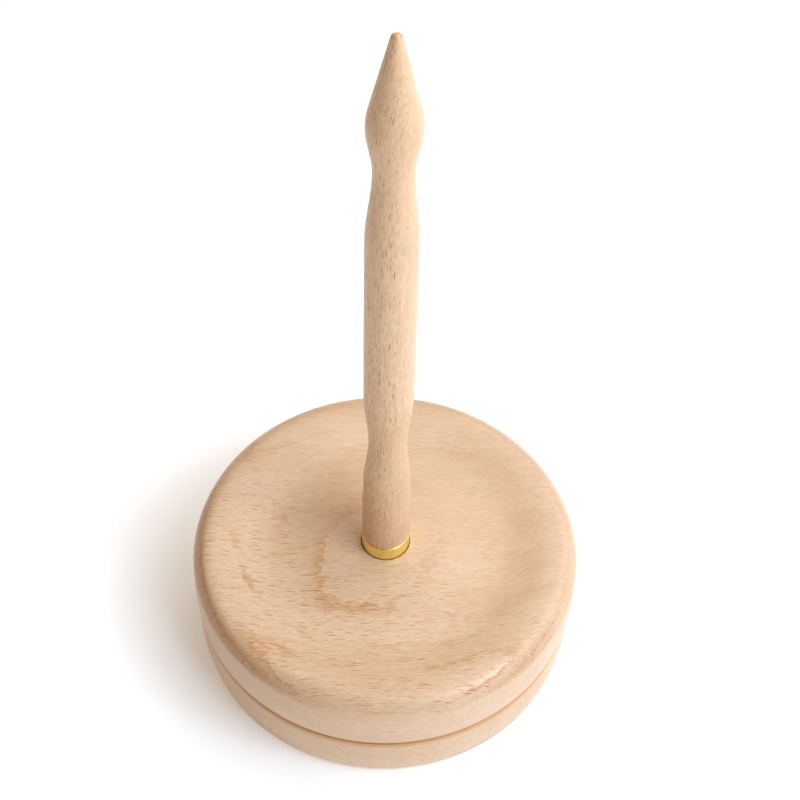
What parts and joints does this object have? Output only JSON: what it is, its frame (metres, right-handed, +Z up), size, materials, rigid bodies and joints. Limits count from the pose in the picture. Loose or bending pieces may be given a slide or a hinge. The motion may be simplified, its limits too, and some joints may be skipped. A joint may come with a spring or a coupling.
{
  "type": "revolving yarn ball stand",
  "caption": "Turned wooden stand that holds a ball of yarn on an upright spindle over a dished platter, which spins on a bearing in a heavy round base.",
  "frame": {"origin": "on the table surface under the middle of the base, at the bottom centre of the whole object", "axes": "+Z up along the spindle and the platter's turning axis; +X and +Y level, with the rubber feet on the diagonals between them"},
  "size_m": [0.132, 0.132, 0.2634],
  "materials": {
    "beech": "satin, bare fine-sanded beech with short dark pore flecks",
    "brass": "satin",
    "steel": "satin, zinc plated",
    "ball_steel": "polished",
    "magnet": "nickel plated",
    "cage_nylon": "matte",
    "nut_nylon": "matte",
    "rubber": "matte"
  },
  "bodies": {
    "base": {"base_disc": "beech", "rubber_foot_1": "rubber", "rubber_foot_2": "rubber", "rubber_foot_3": "rubber", "rubber_foot_4": "rubber", "bearing_outer_ring": "steel", "bearing_shield_upper": "steel", "bearing_shield_lower": "steel"},
    "turntable": {"platter_disc": "beech", "axle_bolt": "steel", "head_washer": "steel", "spacer_washer": "steel", "nut_washer": "steel", "lock_nut": "steel", "nut_nylon_ring": "nut_nylon", "bearing_inner_ring": "steel"},
    "ball_train": {"bearing_cage": "cage_nylon", "bearing_ball_1": "ball_steel", "bearing_ball_2": "ball_steel", "bearing_ball_3": "ball_steel", "bearing_ball_4": "ball_steel", "bearing_ball_5": "ball_steel", "bearing_ball_6": "ball_steel", "bearing_ball_7": "ball_steel"},
    "spindle": {"spindle_post": "beech", "spindle_ferrule": "brass", "spindle_magnet": "magnet"}
  },
  "joints": [
    {"name": "platter_spin", "type": "hinge", "parent": "base", "child": "turntable", "pos_m": [0, 0, 0.0168], "axis": [0, 0, 1], "continuous": true},
    {"name": "bearing_spin", "type": "hinge", "parent": "base", "child": "ball_train", "pos_m": [0, 0, 0.0168], "axis": [0, 0, 1], "continuous": true},
    {"name": "spindle_lift", "type": "slide", "parent": "turntable", "child": "spindle", "axis": [0, 0, 1], "range_m": [0, 0.03]}
  ],
  "couplings": [
    {"joint": "bearing_spin", "follows": "platter_spin", "ratio": 0.3667}
  ]
}
